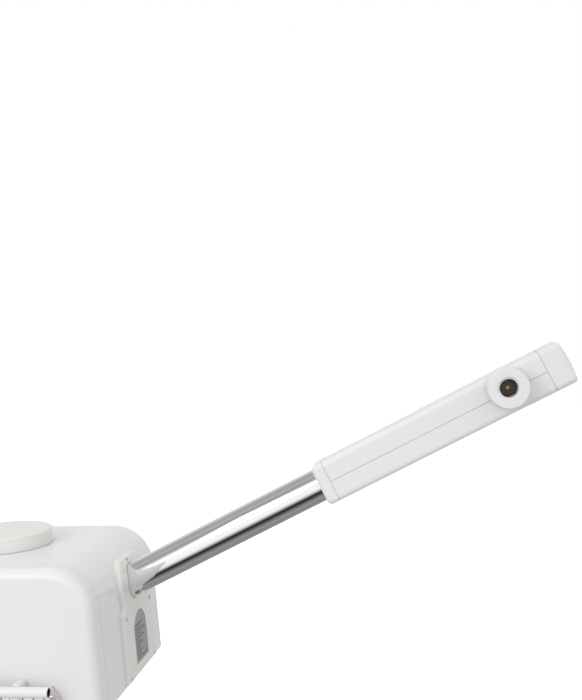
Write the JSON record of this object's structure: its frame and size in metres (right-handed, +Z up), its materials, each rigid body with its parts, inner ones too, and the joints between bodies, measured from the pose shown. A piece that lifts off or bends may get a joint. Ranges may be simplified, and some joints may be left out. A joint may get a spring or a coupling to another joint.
{
  "type": "hood hair dryer",
  "caption": "Hood hair dryer on a sliding tilting arm: boxy fan and heater head with hood, swing-up visor, knobs, turning intake cap, chrome tube and pivot sleeve.",
  "frame": {"origin": "on the axis of the arm's pivot, at the face where the mounting stub leaves its flange", "axes": "+Y along the pivot and out of the stub towards the post or wall, +X along the width of the head from the head towards the pivot, +Z up"},
  "size_m": [0.8058, 0.2597, 0.5331],
  "materials": {
    "white_abs": "gloss",
    "ivory_abs": "satin",
    "arm_abs": "satin",
    "chrome": "polished",
    "steel": "satin",
    "dark_steel": "oiled",
    "zinc": "plated",
    "brass": "machined",
    "bronze": "machined",
    "cast_alloy": "as cast",
    "nylon": "satin",
    "fibre": "matt",
    "label_grey": "satin",
    "dark_plastic": "satin",
    "grey_plastic": "satin",
    "mica": "satin",
    "heating_wire": "oxidised",
    "clear_shield": "clear",
    "soft_trim": "matt",
    "copper_can": "satin"
  },
  "bodies": {
    "pivot": {"pivot_spindle": "dark_steel", "retaining_clip": "dark_steel", "disc_spring": "steel", "friction_washer": "fibre", "thrust_washer": "nylon", "spindle_plug": "brass"},
    "arm": {"sleeve_upper_shell": "arm_abs", "sleeve_lower_shell": "arm_abs", "sleeve_ribs": "arm_abs", "sleeve_screws": "zinc", "nose_collar": "arm_abs", "tube_guide": "nylon", "end_cap": "arm_abs", "pivot_core": "cast_alloy", "pivot_bush": "bronze", "hub_boss": "arm_abs"},
    "extension": {"extension_tube": "chrome", "tube_glide": "nylon", "lock_ring": "steel"},
    "cap": {"intake_cap": "ivory_abs", "cap_clip": "dark_steel"},
    "fan": {"impeller": "dark_plastic"},
    "visor": {"hinge_tube": "white_abs", "visor_rail": "white_abs", "visor_screws": "zinc", "visor_shield": "clear_shield"},
    "timer_dial": {"timer_knob": "grey_plastic"},
    "heat_dial": {"heat_knob": "grey_plastic"},
    "switch": {"power_rocker": "dark_plastic"},
    "head": {"front_shell": "white_abs", "rear_shell": "white_abs", "base_plate": "white_abs", "base_screws": "zinc", "side_cover": "ivory_abs", "cover_screws": "dark_steel", "label_plate": "label_grey", "tube_bearing": "cast_alloy", "bearing_liner": "bronze", "bearing_bolts": "zinc", "fan_duct": "grey_plastic", "motor_bracket": "grey_plastic", "fan_motor": "copper_can", "heater_frame": "mica", "heater_coil": "heating_wire", "thermostat": "dark_plastic", "hood_shell": "white_abs", "hood_rim": "soft_trim", "air_diffuser": "grey_plastic", "hinge_posts": "white_abs", "timer_unit": "dark_plastic", "heat_unit": "dark_plastic", "rocker_housing": "dark_plastic", "cable_gland": "dark_plastic", "gland_nut": "dark_plastic", "terminal_block": "nylon"}
  },
  "joints": [
    {"name": "arm_lift", "type": "hinge", "parent": "pivot", "child": "arm", "pos_m": [0, -0.0316, 0], "axis": [0, 1, 0], "range_deg": [-20, 35]},
    {"name": "reach_slide", "type": "slide", "parent": "arm", "child": "extension", "axis": [-0.9033, 0, -0.4289], "range_m": [-0.04, 0.08]},
    {"name": "head_tilt", "type": "hinge", "parent": "extension", "child": "head", "pos_m": [-0.43463, -0.0316, -0.21235], "axis": [0.9033, 0, 0.4289], "range_deg": [-25, 25]},
    {"name": "visor_lift", "type": "hinge", "parent": "head", "child": "visor", "pos_m": [-0.58042, -0.1739, -0.28715], "axis": [-1, 0, 0], "range_deg": [0, 95]},
    {"name": "cap_turn", "type": "hinge", "parent": "head", "child": "cap", "pos_m": [-0.58042, -0.0377, -0.16665], "axis": [0, 0, 1], "range_deg": [0, 120]},
    {"name": "fan_spin", "type": "hinge", "parent": "head", "child": "fan", "pos_m": [-0.58042, -0.0377, -0.20065], "axis": [0, 0, 1], "continuous": true},
    {"name": "timer_turn", "type": "hinge", "parent": "head", "child": "timer_dial", "pos_m": [-0.67842, -0.1567, -0.22865], "axis": [0, 1, 0], "range_deg": [0, 300]},
    {"name": "heat_turn", "type": "hinge", "parent": "head", "child": "heat_dial", "pos_m": [-0.62042, -0.1567, -0.22865], "axis": [0, 1, 0], "range_deg": [0, 270]},
    {"name": "power_rock", "type": "hinge", "parent": "head", "child": "switch", "pos_m": [-0.57242, -0.1517, -0.22865], "axis": [1, 0, 0], "range_deg": [-6, 6]}
  ]
}
